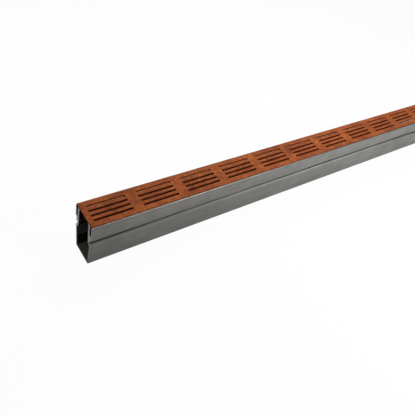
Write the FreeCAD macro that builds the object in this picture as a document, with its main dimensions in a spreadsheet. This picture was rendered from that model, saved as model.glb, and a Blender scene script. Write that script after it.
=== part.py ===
import FreeCAD, Part
import os
import re
import Sketcher

# Slim channel drain, one metre long: an extruded aluminium channel with slotted
# edges, and a laser-cut weathering-steel grate that lies between them.
# X runs along the channel, Y across it, Z up. The origin is the middle of the underside.

SIZES = [
    # the channel's section
    ("length", 1000, "length of the channel"),
    ("rim_width", 60, "overall width at the two edge bands"),
    ("height", 100, "overall height, underside to top edge"),
    ("foot_width", 47.6, "outer width at the underside"),
    ("wall", 3, "thickness of the lower walls"),
    ("bed", 3, "thickness of the bed, the channel's bottom"),
    ("band_height", 27, "height of the upright edge band, from the top"),
    ("skin", 2, "thickness of the band's outer skin"),
    ("key_slot", 5.5, "width of the slot between skin and inner leg, for joining keys"),
    ("leg", 4, "thickness of the inner leg that carries the grate"),
    ("web", 4, "thickness of the web under the key slot"),
    ("neck_inset", 3.5, "depth of the neck under the band, from the band's face"),
    ("neck_height", 9.5, "height of the neck, from the band's foot to the groove"),
    ("groove_height", 6.5, "height of the groove under the neck"),
    ("ledge_inset", 5, "inset of the groove's lower edge, from the band's face"),
    ("shoulder_inset", 2.8, "inset of the shoulder, from the band's face"),
    ("shoulder_height", 7.5, "height of the curved shoulder under the groove"),
    ("shoulder_radius", 10, "radius of the shoulder's curve"),
    ("lean", 1.2, "how far the band's lower part leans in"),
    ("lean_height", 5, "height of the leaning part"),
    # the lip that widens the leg's top, and the ribs below it, where grate clips bite
    ("lip_width", 2.5, "how far lip and ribs stand out of the leg"),
    ("lip_height", 3, "height of the lip's flat front"),
    ("lip_slope", 2, "height of the slope under the lip"),
    ("rib_base", 2.6, "height of a rib at its root"),
    ("rib_pitch", 4.8, "spacing of the ribs"),
    ("rib_drop", 7.4, "leg top to the first rib"),
    # edge rounding
    ("foot_radius", 2, "outer radius along the underside"),
    ("inner_radius", 2, "inner radius along the bed"),
    ("edge_radius", 0.8, "radius of the band's outer edges"),
    # the grate
    ("plate", 3, "thickness of the grate"),
    ("proud", 1.9, "how far the grate stands above the channel's top edges"),
    ("side_gap", 0.3, "clearance between grate and skin, each side"),
    ("end_gap", 0.3, "grate set back from the channel's end, each end"),
    ("slit_length", 71, "length of a grate slit"),
    ("slit_width", 4.5, "width of a grate slit"),
    ("slit_radius", 1.5, "corner radius of a grate slit"),
    ("bridge", 20, "solid bridge between two groups of slits"),
    ("row_pitch", 10.3, "spacing of the rows of slits"),
    ("side_rail", 5, "least solid strip along each side of the grate"),
]

doc = FreeCAD.newDocument("channel_drain")
sheet = doc.addObject("Spreadsheet::Sheet", "sizes")
for row, (alias, value, meaning) in enumerate(SIZES, start=1):
    sheet.set(f"A{row}", meaning)
    sheet.set(f"B{row}", str(value))
    sheet.setAlias(f"B{row}", alias)
doc.recompute()
ALIASES = {alias for alias, value, meaning in SIZES}


def size(expression):
    """The value of an expression over the sheet's names, in millimetres."""
    return float(sheet.evalExpression(expression))


def bound(expression):
    """The same expression as the document's other objects read it."""
    return re.sub(r"[a-z_]+", lambda word: f"sizes.{word[0]}" if word[0] in ALIASES else word[0], expression)


def new_body(name):
    body = doc.addObject("PartDesign::Body", name)
    body.Label = name
    return body


def origin_feature(body, role):
    return next(feature for feature in body.Origin.OriginFeatures if feature.Role == role)


def new_sketch(body, name, role):
    sketch = body.newObject("Sketcher::SketchObject", name)
    sketch.AttachmentSupport = [(origin_feature(body, role), "")]
    sketch.MapMode = "FlatFace"
    return sketch


def pin(sketch, kind, geometry, point, expression):
    """Ties one coordinate of a sketch point to the sheet, measured from the sketch's origin."""
    number = sketch.addConstraint(Sketcher.Constraint(kind, -1, 1, geometry, point, size(expression)))
    sketch.setExpression(f"Constraints[{number}]", bound(expression))


def draw_outline(sketch, corners, arcs=()):
    """A closed outline, drawn anticlockwise through corners given as pairs of expressions.

    arcs maps a corner's number to the radius of the outward curve that starts there.
    """
    arcs = dict(arcs)
    points = [FreeCAD.Vector(size(across), size(up), 0) for across, up in corners]
    first = sketch.GeometryCount
    for index, start in enumerate(points):
        end = points[(index + 1) % len(points)]
        if index in arcs:
            chord = end - start
            outward = FreeCAD.Vector(chord.y, -chord.x, 0).normalize()
            radius = size(arcs[index])
            crown = (start + end) * 0.5 + outward * (radius - (radius ** 2 - chord.Length ** 2 / 4) ** 0.5)
            sketch.addGeometry(Part.Arc(start, crown, end), False)
        else:
            sketch.addGeometry(Part.LineSegment(start, end), False)
    for index, (across, up) in enumerate(corners):
        before = first + (index - 1) % len(corners)
        sketch.addConstraint(Sketcher.Constraint("Coincident", before, 2, first + index, 1))
        pin(sketch, "DistanceX", first + index, 1, across)
        pin(sketch, "DistanceY", first + index, 1, up)
    for index, radius in arcs.items():
        number = sketch.addConstraint(Sketcher.Constraint("Radius", first + index, size(radius)))
        sketch.setExpression(f"Constraints[{number}]", bound(radius))


def edges_along_x(feature, places):
    """Names of a feature's long edges that lie at the given (Y, Z) places."""
    names = []
    for number, edge in enumerate(feature.Shape.Edges, start=1):
        middle = edge.BoundBox.Center
        runs_along = edge.BoundBox.XLength > max(edge.BoundBox.YLength, edge.BoundBox.ZLength) + 1
        if runs_along and any(abs(middle.y - y) + abs(middle.z - z) < 1e-3 for y, z in places):
            names.append(f"Edge{number}")
    return names


def round_edges(body, name, places, radius):
    """A fillet along the body's long edges at the given places, on both sides of the middle."""
    both = [(side * size(across), size(up)) for across, up in places for side in (-1, 1)]
    base = body.Tip
    fillet = body.newObject("PartDesign::Fillet", name)
    fillet.Base = (base, edges_along_x(base, both))
    fillet.setExpression("Radius", bound(radius))
    doc.recompute()


# The channel: one extrusion. Half the section is drawn and padded, then mirrored.
# Each side has a slender wall with a slight draft, a rounded shoulder, a groove that keys
# into the bedding mortar, a neck and an upright edge band. The band is a slot between an
# outer skin and an inner leg: joining keys slide into the slot, the leg's lip carries the
# grate, and its ribs are what a grate clip bites into. The groove ends at the leg's face.
SKIN_FACE = "rim_width / 2"
SLOT_OUTER = f"{SKIN_FACE} - skin"
SLOT_INNER = f"{SLOT_OUTER} - key_slot"
LEG_FACE = f"{SLOT_INNER} - leg"
NECK_FACE = f"{SKIN_FACE} - neck_inset"
LEDGE_EDGE = f"{SKIN_FACE} - ledge_inset"
SHOULDER_FACE = f"{SKIN_FACE} - shoulder_inset"
BAND_FOOT = "height - band_height"
SLOT_FLOOR = f"{BAND_FOOT} + web"
NECK_FOOT = f"{BAND_FOOT} - neck_height"
GROOVE_FOOT = f"{NECK_FOOT} - groove_height"
SHOULDER_FOOT = f"{GROOVE_FOOT} - shoulder_height"
LEG_TOP = "height + proud - plate"

outside = [
    ("0", "0"),
    ("foot_width / 2", "0"),
    (SHOULDER_FACE, SHOULDER_FOOT),
    (LEDGE_EDGE, GROOVE_FOOT),
    (SLOT_INNER, GROOVE_FOOT),
    (SLOT_INNER, NECK_FOOT),
    (NECK_FACE, NECK_FOOT),
    (NECK_FACE, BAND_FOOT),
    (f"{SKIN_FACE} - lean", BAND_FOOT),
    (SKIN_FACE, f"{BAND_FOOT} + lean_height"),
    (SKIN_FACE, "height"),
]
slot_and_leg = [
    (SLOT_OUTER, "height"),
    (SLOT_OUTER, SLOT_FLOOR),
    (SLOT_INNER, SLOT_FLOOR),
    (SLOT_INNER, LEG_TOP),
    (f"{LEG_FACE} - lip_width", LEG_TOP),
    (f"{LEG_FACE} - lip_width", f"{LEG_TOP} - lip_height"),
    (LEG_FACE, f"{LEG_TOP} - lip_height - lip_slope"),
]
ribs = []
rib_count = int(size(f"floor(({LEG_TOP} - ({NECK_FOOT}) - rib_drop) / rib_pitch)"))
for rib in range(rib_count):
    rib_top = f"{LEG_TOP} - rib_drop - {rib} * rib_pitch"
    ribs += [
        (LEG_FACE, rib_top),
        (f"{LEG_FACE} - lip_width", f"{rib_top} - rib_base / 2"),
        (LEG_FACE, f"{rib_top} - rib_base"),
    ]
inside = [
    (LEG_FACE, GROOVE_FOOT),
    (f"{SHOULDER_FACE} - wall", SHOULDER_FOOT),
    ("foot_width / 2 - wall", "bed"),
    ("0", "bed"),
]
shoulder_curve = outside.index((SHOULDER_FACE, SHOULDER_FOOT))

channel = new_body("channel_body")
half_section = new_sketch(channel, "half_section", "YZ_Plane")
draw_outline(half_section, outside + slot_and_leg + ribs + inside, {shoulder_curve: "shoulder_radius"})
half_channel = channel.newObject("PartDesign::Pad", "half_channel")
half_channel.Profile = half_section
half_channel.Midplane = True
half_channel.setExpression("Length", bound("length"))
whole_channel = channel.newObject("PartDesign::Mirrored", "whole_channel")
whole_channel.Originals = [half_channel]
whole_channel.MirrorPlane = (origin_feature(channel, "XZ_Plane"), [""])
channel.Tip = whole_channel
doc.recompute()
round_edges(channel, "foot_edges", [("foot_width / 2", "0")], "foot_radius")
round_edges(channel, "bed_corners", [("foot_width / 2 - wall", "bed")], "inner_radius")
round_edges(channel, "band_edges", [(SKIN_FACE, "height"), (f"{SKIN_FACE} - lean", BAND_FOOT)], "edge_radius")

# The grate: a flat plate that rests on the legs, a little proud of the channel's top edges.
# Its slits are cut in groups side by side, and the groups are centred along the plate.
PLATE_HALF_WIDTH = f"({SLOT_OUTER} - side_gap)"
PLATE_HALF_LENGTH = "(length / 2 - end_gap)"
GROUP_PITCH = "(slit_length + bridge)"
LAST_ROW = f"floor(({PLATE_HALF_WIDTH} * 2 - side_rail * 2 - slit_width) / row_pitch)"
LAST_GROUP = f"floor(({PLATE_HALF_LENGTH} * 2 - bridge / 2 - slit_length) / {GROUP_PITCH})"

grate = new_body("grate")
grate.setExpression("Placement.Base.z", bound(LEG_TOP))
plate_outline = new_sketch(grate, "plate_outline", "XY_Plane")
draw_outline(plate_outline, [
    (f"-{PLATE_HALF_LENGTH}", f"-{PLATE_HALF_WIDTH}"),
    (PLATE_HALF_LENGTH, f"-{PLATE_HALF_WIDTH}"),
    (PLATE_HALF_LENGTH, PLATE_HALF_WIDTH),
    (f"-{PLATE_HALF_LENGTH}", PLATE_HALF_WIDTH),
])
plate = grate.newObject("PartDesign::Pad", "plate")
plate.Profile = plate_outline
plate.setExpression("Length", bound("plate"))

first_group = new_sketch(grate, "first_group", "XY_Plane")
group_middle = f"-{LAST_GROUP} * {GROUP_PITCH} / 2"
left, right = f"{group_middle} - slit_length / 2", f"{group_middle} + slit_length / 2"
for slit in range(int(size(LAST_ROW)) + 1):
    row_middle = f"({slit} - {LAST_ROW} / 2) * row_pitch"
    near, far = f"{row_middle} - slit_width / 2", f"{row_middle} + slit_width / 2"
    draw_outline(first_group, [
        (f"{left} + slit_radius", near),
        (f"{right} - slit_radius", near),
        (right, f"{near} + slit_radius"),
        (right, f"{far} - slit_radius"),
        (f"{right} - slit_radius", far),
        (f"{left} + slit_radius", far),
        (left, f"{far} - slit_radius"),
        (left, f"{near} + slit_radius"),
    ], {corner: "slit_radius" for corner in (1, 3, 5, 7)})
slits = grate.newObject("PartDesign::Pocket", "slits")
slits.Profile = first_group
slits.Reversed = True
slits.setExpression("Length", bound("plate"))
groups = grate.newObject("PartDesign::LinearPattern", "groups")
groups.Originals = [slits]
groups.Direction = (origin_feature(grate, "X_Axis"), [""])
groups.setExpression("Length", bound(f"{LAST_GROUP} * {GROUP_PITCH}"))
groups.setExpression("Occurrences", bound(f"{LAST_GROUP} + 1"))
grate.Tip = groups
doc.recompute()

for item in doc.Objects:
    if "Invalid" in item.State or "Error" in item.State:
        raise RuntimeError(f"{item.Name} failed: {item.State}")
os.makedirs("parts", exist_ok=True)
for body in (channel, grate):
    if body.Shape.isNull() or not body.Shape.isValid():
        raise RuntimeError(f"{body.Label} has no valid shape")
    body.Shape.exportStep(os.path.join("parts", f"{body.Label}.step"))
    box = body.Shape.BoundBox
    print(f"{body.Label}: {len(body.Shape.Solids)} solid, {body.Shape.Volume / 1000:.1f} cm3, "
          f"{box.XLength:.2f} x {box.YLength:.2f} x {box.ZLength:.2f} mm")
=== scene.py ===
import math

import bpy
from mathutils import Matrix, Vector


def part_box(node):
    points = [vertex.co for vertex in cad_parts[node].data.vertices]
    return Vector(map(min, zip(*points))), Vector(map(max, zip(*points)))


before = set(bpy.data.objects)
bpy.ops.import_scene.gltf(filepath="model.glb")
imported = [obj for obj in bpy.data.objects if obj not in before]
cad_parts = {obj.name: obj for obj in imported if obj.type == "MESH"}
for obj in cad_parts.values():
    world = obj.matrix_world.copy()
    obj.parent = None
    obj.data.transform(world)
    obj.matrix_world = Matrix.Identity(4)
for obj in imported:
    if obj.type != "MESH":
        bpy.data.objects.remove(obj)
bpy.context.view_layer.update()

# The drain stands ready to be set in a paved edge: one aluminium channel, one metre long,
# and the weathering-steel grate that lies in its top, already rusted. Both are the CAD
# nodes themselves. X runs along the channel, Y across it, Z up, in metres.

# ---- The channel: plain extruded aluminium ----------------------------------------
# Pressed through a die and sawn to length, left without paint or anodising. The eye gets
# a dull satin grey with die lines along its length, and paler, scratchy sawn ends.

MM = 0.001
DIE_LINE = 0.9 * MM        # spacing of the die lines, a little coarser than real ones so that they show
DIE_BAND = 7 * MM          # broad bright and dull bands that the die leaves
LINE_LENGTH = 900 * MM     # a line runs nearly the whole length
STAIN = 45 * MM            # handling stains and uneven oxide
SAW_MARK = 1.2 * MM        # spacing of the saw's scratches, coarser than real ones so that they show
SAW_STRETCH = 0.08         # how short a scratch is across, for its length
SAW_TILT = math.radians(20)
SHADE_AND_RUST_SPREAD = 22.5 * MM    # how far from the middle the painted shade inside and the grate's rust reach: out to the legs' outer faces
TURNED_IN = -4 * MM        # distance from the middle times the facing is below this on inward faces
RUST_AND_HIGHLIGHT_REACH = 95 * MM       # height above which the grate's rust and a painted highlight lie on what it rests on
END_ON = 0.7               # a face turned along the channel by more than this is a sawn end
LINE_DEPTH = 0.1 * MM
ROUGHNESS_CLEAN = 0.31     # a satin sheen, a little duller where it is stained
ROUGHNESS_STAINED = 0.39

OXIDE = "#8c8b88"
DARK_OXIDE = "#7f7e7b"
BAND_TINT = "#f2f2f0"
LINE_TINT = "#f4f4f3"
# painted shade for the inside of the channel, tinted like washed-off rust
INSIDE_SHADE_TINT = "#8c7462"
# rust from the grate, made light enough to paint a highlight on the lips as well
CONTACT_RUST_AND_HIGHLIGHT = "#dfa070"
SAWN_METAL = "#9a9a98"

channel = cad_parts["channel_body"]


def srgb(text):
    """The linear colour, with alpha 1, of a hex value such as #a05f3c."""
    parts = [int(text[i:i + 2], 16) / 255 for i in (1, 3, 5)]
    return [v / 12.92 if v <= 0.04045 else ((v + 0.055) / 1.055) ** 2.4 for v in parts] + [1]


def add_node(tree, kind, settings=(), **inputs):
    """Adds a node with its settings. An input is a value, or an output to link.

    In an input's name, _ stands for a space, and n_ comes before an input that is known by its number.
    """
    node = tree.nodes.new(kind)
    for name, value in dict(settings).items():
        setattr(node, name, value)
    for name, value in inputs.items():
        key = name.replace("_", " ")
        socket = node.inputs[int(key[2:])] if key.startswith("n ") else node.inputs[key]
        if isinstance(value, bpy.types.NodeSocket):
            tree.links.new(value, socket)
        else:
            socket.default_value = value
    return node


def new_finish(name):
    """A new material, its node tree, and its Principled shader, linked to the output."""
    finish = bpy.data.materials.new(name)
    finish.use_nodes = True
    tree = finish.node_tree
    tree.nodes.clear()
    shader = add_node(tree, "ShaderNodeBsdfPrincipled")
    add_node(tree, "ShaderNodeOutputMaterial", Surface=shader.outputs["BSDF"])
    return finish, tree, shader


def mottle(tree, place, size, detail, low_edge, high_edge):
    """Patches of about the given size in metres, as a value from 0 to 1."""
    noise = add_node(tree, "ShaderNodeTexNoise", Vector=place, Scale=1 / size, Detail=detail, Roughness=0.6)
    return add_node(tree, "ShaderNodeMapRange", {"clamp": True}, Value=noise.outputs["Fac"],
                    From_Min=low_edge, From_Max=high_edge).outputs["Result"]


mill_finish, tree, shader = new_finish("mill_finish_aluminium")
place = add_node(tree, "ShaderNodeTexCoord").outputs["Object"]
spot = add_node(tree, "ShaderNodeSeparateXYZ", Vector=place)
normal = add_node(tree, "ShaderNodeNewGeometry").outputs["Normal"]
facing = add_node(tree, "ShaderNodeSeparateXYZ", Vector=normal)

# The drawn surface: oxide, then the bands and lines of the die, each a faint tint over the last.
stretched = add_node(tree, "ShaderNodeMapping", Vector=place,
                     Scale=(DIE_LINE / LINE_LENGTH, 1, 1)).outputs["Vector"]
die_lines = mottle(tree, stretched, DIE_LINE, detail=2, low_edge=0.35, high_edge=0.65)
die_bands = mottle(tree, stretched, DIE_BAND, detail=1, low_edge=0.35, high_edge=0.65)
stains = mottle(tree, place, STAIN, detail=4, low_edge=0.35, high_edge=0.7)
oxide = add_node(tree, "ShaderNodeMix", {"data_type": "RGBA"}, n_0=stains,
                 n_6=srgb(OXIDE), n_7=srgb(DARK_OXIDE))
drawn = add_node(tree, "ShaderNodeMix", {"data_type": "RGBA", "blend_type": "MULTIPLY"}, n_0=die_bands,
                 n_6=oxide.outputs[2], n_7=srgb(BAND_TINT))
lined = add_node(tree, "ShaderNodeMix", {"data_type": "RGBA", "blend_type": "MULTIPLY"}, n_0=die_lines,
                 n_6=drawn.outputs[2], n_7=srgb(LINE_TINT))

# Painted shade: a dark brown film, tinted like rust washed off the grate, darkens the faces that look
# towards the middle, for the shade inside the channel. It covers the ribbed legs and the foot of the lower
# walls. Between them the walls lean out past it.
inward = add_node(tree, "ShaderNodeMath", {"operation": "MULTIPLY"},
                  n_0=spot.outputs["Y"], n_1=facing.outputs["Y"])
faces_middle = add_node(tree, "ShaderNodeMath", {"operation": "LESS_THAN"},
                        n_0=inward.outputs["Value"], n_1=TURNED_IN)
off_middle = add_node(tree, "ShaderNodeMath", {"operation": "ABSOLUTE"}, n_0=spot.outputs["Y"])
below_grate = add_node(tree, "ShaderNodeMath", {"operation": "LESS_THAN"},
                       n_0=off_middle.outputs["Value"], n_1=SHADE_AND_RUST_SPREAD)
inside_shade_mask = add_node(tree, "ShaderNodeMath", {"operation": "MULTIPLY"},
                  n_0=faces_middle.outputs["Value"], n_1=below_grate.outputs["Value"])
inside_shaded = add_node(tree, "ShaderNodeMix", {"data_type": "RGBA", "blend_type": "MULTIPLY"},
                   n_0=inside_shade_mask.outputs["Value"], n_6=lined.outputs[2], n_7=srgb(INSIDE_SHADE_TINT))

# The grate's underside also rusts on to the legs and lips that it lies on. Their light orange is also a
# painted highlight, for the light that falls on the lips under the slits.
near_grate = add_node(tree, "ShaderNodeMath", {"operation": "GREATER_THAN"},
                      n_0=spot.outputs["Z"], n_1=RUST_AND_HIGHLIGHT_REACH)
in_contact = add_node(tree, "ShaderNodeMath", {"operation": "MULTIPLY"},
                      n_0=near_grate.outputs["Value"], n_1=below_grate.outputs["Value"])
rust_and_highlight = add_node(tree, "ShaderNodeMix", {"data_type": "RGBA"}, n_0=in_contact.outputs["Value"],
                  n_6=inside_shaded.outputs[2], n_7=srgb(CONTACT_RUST_AND_HIGHLIGHT))

# The sawn ends face along the channel. They have no die lines, but the saw's scratches.
along = add_node(tree, "ShaderNodeMath", {"operation": "ABSOLUTE"}, n_0=facing.outputs["X"])
sawn = add_node(tree, "ShaderNodeMath", {"operation": "GREATER_THAN"},
                n_0=along.outputs["Value"], n_1=END_ON)
coloured = add_node(tree, "ShaderNodeMix", {"data_type": "RGBA"}, n_0=sawn.outputs["Value"],
                    n_6=rust_and_highlight.outputs[2], n_7=srgb(SAWN_METAL))
tilted = add_node(tree, "ShaderNodeMapping", Vector=place, Rotation=(SAW_TILT, 0, 0),
                  Scale=(1, SAW_STRETCH, 1)).outputs["Vector"]
saw_marks = mottle(tree, tilted, SAW_MARK, detail=2, low_edge=0.3, high_edge=0.7)
relief = add_node(tree, "ShaderNodeMix", {"data_type": "FLOAT"}, n_0=sawn.outputs["Value"],
                  n_2=die_lines, n_3=saw_marks)
bump = add_node(tree, "ShaderNodeBump", Strength=0.12, Distance=LINE_DEPTH, Height=relief.outputs[0])

# Bare metal under a thin oxide film, which takes a little of the mirror away.
gloss = add_node(tree, "ShaderNodeMapRange", Value=stains,
                 To_Min=ROUGHNESS_CLEAN, To_Max=ROUGHNESS_STAINED)
shader.inputs["Metallic"].default_value = 0.85
tree.links.new(coloured.outputs[2], shader.inputs["Base Color"])
tree.links.new(gloss.outputs["Result"], shader.inputs["Roughness"])
tree.links.new(bump.outputs["Normal"], shader.inputs["Normal"])
channel.data.materials.clear()
channel.data.materials.append(mill_finish)

# ---- The grate: weathering steel ---------------------------------------------------
# Cut from three-millimetre plate and left to rust until the layer closes. It lies loose on the
# legs. The eye gets a matt orange-brown skin with fine grit and soft clouds, and dark slits with painted
# shade on their cut faces.

CLOUD = 38 * MM            # soft clouds of lighter and darker rust
FLECK = 5 * MM             # flecks where rain stood
GRIT = 1.3 * MM            # grain of the rust skin, drawn coarser than real so that it shows
GRIT_DEPTH = 0.15 * MM
EDGE_DEPTH = 0.1 * MM      # the long outer edges lie within this of the plate's side
UPRIGHT = 0.5              # a face that looks up or down by less than this stands upright

DARK_RUST = "#88451f"
LIGHT_RUST = "#b3662e"
FLECK_TINT = "#ccb4a6"
GRIT_TINT = "#c8b6aa"
# painted shade for the cut faces in the slits and at the ends
CUT_FACE_SHADE = "#702c0a"

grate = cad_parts["grate"]
grate_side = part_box("grate")[1][1]
rust, tree, shader = new_finish("weathering_steel_rust")
place = add_node(tree, "ShaderNodeTexCoord").outputs["Object"]
normal = add_node(tree, "ShaderNodeNewGeometry").outputs["Normal"]

# The rust skin: clouds of two browns, with the flecks and the grit each a tint over the last.
clouds = mottle(tree, place, CLOUD, detail=5, low_edge=0.3, high_edge=0.7)
flecks = mottle(tree, place, FLECK, detail=3, low_edge=0.35, high_edge=0.65)
grit = mottle(tree, place, GRIT, detail=3, low_edge=0.3, high_edge=0.7)
skin = add_node(tree, "ShaderNodeMix", {"data_type": "RGBA"}, n_0=clouds,
                n_6=srgb(DARK_RUST), n_7=srgb(LIGHT_RUST))
flecked = add_node(tree, "ShaderNodeMix", {"data_type": "RGBA", "blend_type": "MULTIPLY"}, n_0=flecks,
                   n_6=skin.outputs[2], n_7=srgb(FLECK_TINT))
gritty = add_node(tree, "ShaderNodeMix", {"data_type": "RGBA", "blend_type": "MULTIPLY"}, n_0=grit,
                  n_6=flecked.outputs[2], n_7=srgb(GRIT_TINT))

# The cut faces in the slits and at the two ends are painted darker, a painted shade for the shade
# that falls in the slits and on the end faces. The long outer edges have rusted like the top.
upward = add_node(tree, "ShaderNodeSeparateXYZ", Vector=normal).outputs["Z"]
flat = add_node(tree, "ShaderNodeMath", {"operation": "ABSOLUTE"}, n_0=upward)
upright = add_node(tree, "ShaderNodeMath", {"operation": "LESS_THAN"},
                   n_0=flat.outputs["Value"], n_1=UPRIGHT)
across = add_node(tree, "ShaderNodeSeparateXYZ", Vector=place).outputs["Y"]
off_middle = add_node(tree, "ShaderNodeMath", {"operation": "ABSOLUTE"}, n_0=across)
within = add_node(tree, "ShaderNodeMath", {"operation": "LESS_THAN"},
                  n_0=off_middle.outputs["Value"], n_1=grate_side - EDGE_DEPTH)
shaded_cut_face = add_node(tree, "ShaderNodeMath", {"operation": "MULTIPLY"},
                    n_0=upright.outputs["Value"], n_1=within.outputs["Value"])
cut_faces_shaded = add_node(tree, "ShaderNodeMix", {"data_type": "RGBA"}, n_0=shaded_cut_face.outputs["Value"],
                 n_6=gritty.outputs[2], n_7=srgb(CUT_FACE_SHADE))
bump = add_node(tree, "ShaderNodeBump", Strength=0.35, Distance=GRIT_DEPTH, Height=grit)

# Rust scatters light like dry earth, with hardly any shine.
shader.inputs["Roughness"].default_value = 0.85
shader.inputs["Specular IOR Level"].default_value = 0.25
tree.links.new(cut_faces_shaded.outputs[2], shader.inputs["Base Color"])
tree.links.new(bump.outputs["Normal"], shader.inputs["Normal"])
grate.data.materials.clear()
grate.data.materials.append(rust)

# ---- The studio: floor, light and camera --------------------------------------------
# A plain pale floor. To the camera it is white, with the drain's own soft shadow left in it.
# Metal mirrors a small part of that white, and the floor's paint lights the channel's sides.

FLOOR_SIZE = 12
FLOOR_PAINT = "#d8d8d8"
WHITE = (1, 1, 1, 1)
SHADOW_SHARE = 0.04        # how much of the floor's own shading the eye sees
MIRROR_SHARE = 0.08        # how much of the white shows in the metal, so that it stays a satin grey
ROOM_LIGHT = 0.06          # even light from the walls of the studio


def show_white(tree, own_look, white, seen_share):
    """White to the eye and a little in the metal, but a surface's own look for the light it throws."""
    rays = add_node(tree, "ShaderNodeLightPath")
    through = add_node(tree, "ShaderNodeMath", {"operation": "MAXIMUM"},
                       n_0=rays.outputs["Is Camera Ray"], n_1=rays.outputs["Is Transmission Ray"])
    seen = add_node(tree, "ShaderNodeMath", {"operation": "MULTIPLY"},
                    n_0=through.outputs["Value"], n_1=seen_share)
    white_share = add_node(tree, "ShaderNodeMath", {"operation": "MULTIPLY_ADD", "use_clamp": True},
                           n_0=rays.outputs["Is Glossy Ray"], n_1=MIRROR_SHARE, n_2=seen.outputs["Value"])
    return add_node(tree, "ShaderNodeMixShader", n_0=white_share.outputs["Value"],
                    n_1=own_look, n_2=white).outputs["Shader"]


bpy.ops.object.select_all(action="DESELECT")
bpy.ops.mesh.primitive_plane_add(size=FLOOR_SIZE, location=(0, 0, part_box("channel_body")[0][2]))
floor = bpy.context.object
floor.name = "floor"
table_top = bpy.data.materials.new("white_table")
table_top.use_nodes = True
tree = table_top.node_tree
tree.nodes.clear()
paint = add_node(tree, "ShaderNodeBsdfDiffuse", Color=srgb(FLOOR_PAINT))
white = add_node(tree, "ShaderNodeEmission", Color=WHITE, Strength=1)
look = show_white(tree, paint.outputs["BSDF"], white.outputs["Emission"], seen_share=1 - SHADOW_SHARE)
add_node(tree, "ShaderNodeOutputMaterial", Surface=look)
floor.data.materials.append(table_top)

# The walls of the studio are white to the camera in the same way, and give only a little light.
world = bpy.data.worlds.new("studio")
bpy.context.scene.world = world
world.use_nodes = True
tree = world.node_tree
tree.nodes.clear()
room = add_node(tree, "ShaderNodeBackground", Color=WHITE, Strength=ROOM_LIGHT)
backdrop = add_node(tree, "ShaderNodeBackground", Color=WHITE, Strength=1)
look = show_white(tree, room.outputs["Background"], backdrop.outputs["Background"], seen_share=1)
add_node(tree, "ShaderNodeOutputWorld", Surface=look)


def softbox(name, place, aim, width, height, watts):
    """A soft area lamp at a place, turned to face the point that it is aimed at."""
    data = bpy.data.lights.new(name, "AREA")
    data.shape = "RECTANGLE"
    data.size = width
    data.size_y = height
    data.energy = watts
    lamp = bpy.data.objects.new(name, data)
    bpy.context.collection.objects.link(lamp)
    lamp.location = place
    lamp.rotation_euler = (Vector(aim) - Vector(place)).to_track_quat("-Z", "Y").to_euler()


# A wide lamp over the near half and one behind light the grate and the top edges. Two in front
# light the sides more towards the far end, and two low ones draw the bright line on the shoulder.
softbox("overhead", place=(-0.3, 0.1, 1.4), aim=(-0.15, 0, 0.1), width=1.4, height=0.8, watts=8)
softbox("behind", place=(0.4, 0.65, 1.1), aim=(0, 0, 0.1), width=1.2, height=0.6, watts=11)
softbox("high_front", place=(0.3, -0.25, 1.2), aim=(0.15, 0, 0.05), width=0.5, height=0.3, watts=4.2)
softbox("close_front", place=(0.2, -0.6, 0.5), aim=(0.15, 0, 0.05), width=0.4, height=0.3, watts=3.6)
softbox("low_far", place=(1.1, -1.0, 0.22), aim=(0.3, 0, 0.05), width=0.7, height=0.25, watts=1.8)
softbox("low_middle", place=(0.5, -1.0, 0.22), aim=(0, 0, 0.05), width=0.7, height=0.25, watts=0.4)

# The camera looks down at about 45 degrees from beyond the near end, tilted a little to the side.
CAMERA_PLACE = (-0.72544, -0.45186, 0.67752)
AHEAD = Vector((0.52295, 0.47621, -0.70693))
RIGHT = Vector((0.80431, -0.55024, 0.22433))
FOCAL_LENGTH = 40.37       # in millimetres, as the camera takes it
SENSOR_WIDTH = 36          # in millimetres
NEAREST_SEEN = 10 * MM

camera_data = bpy.data.cameras.new("camera")
camera_data.sensor_width = SENSOR_WIDTH
camera_data.lens = FOCAL_LENGTH
camera_data.clip_start = NEAREST_SEEN
camera = bpy.data.objects.new("camera", camera_data)
bpy.context.collection.objects.link(camera)
turn = Matrix((RIGHT, RIGHT.cross(AHEAD), -AHEAD)).transposed()
camera.matrix_world = Matrix.Translation(CAMERA_PLACE) @ turn.to_4x4()
bpy.context.scene.camera = camera

bpy.context.scene.view_settings.view_transform = "Standard"
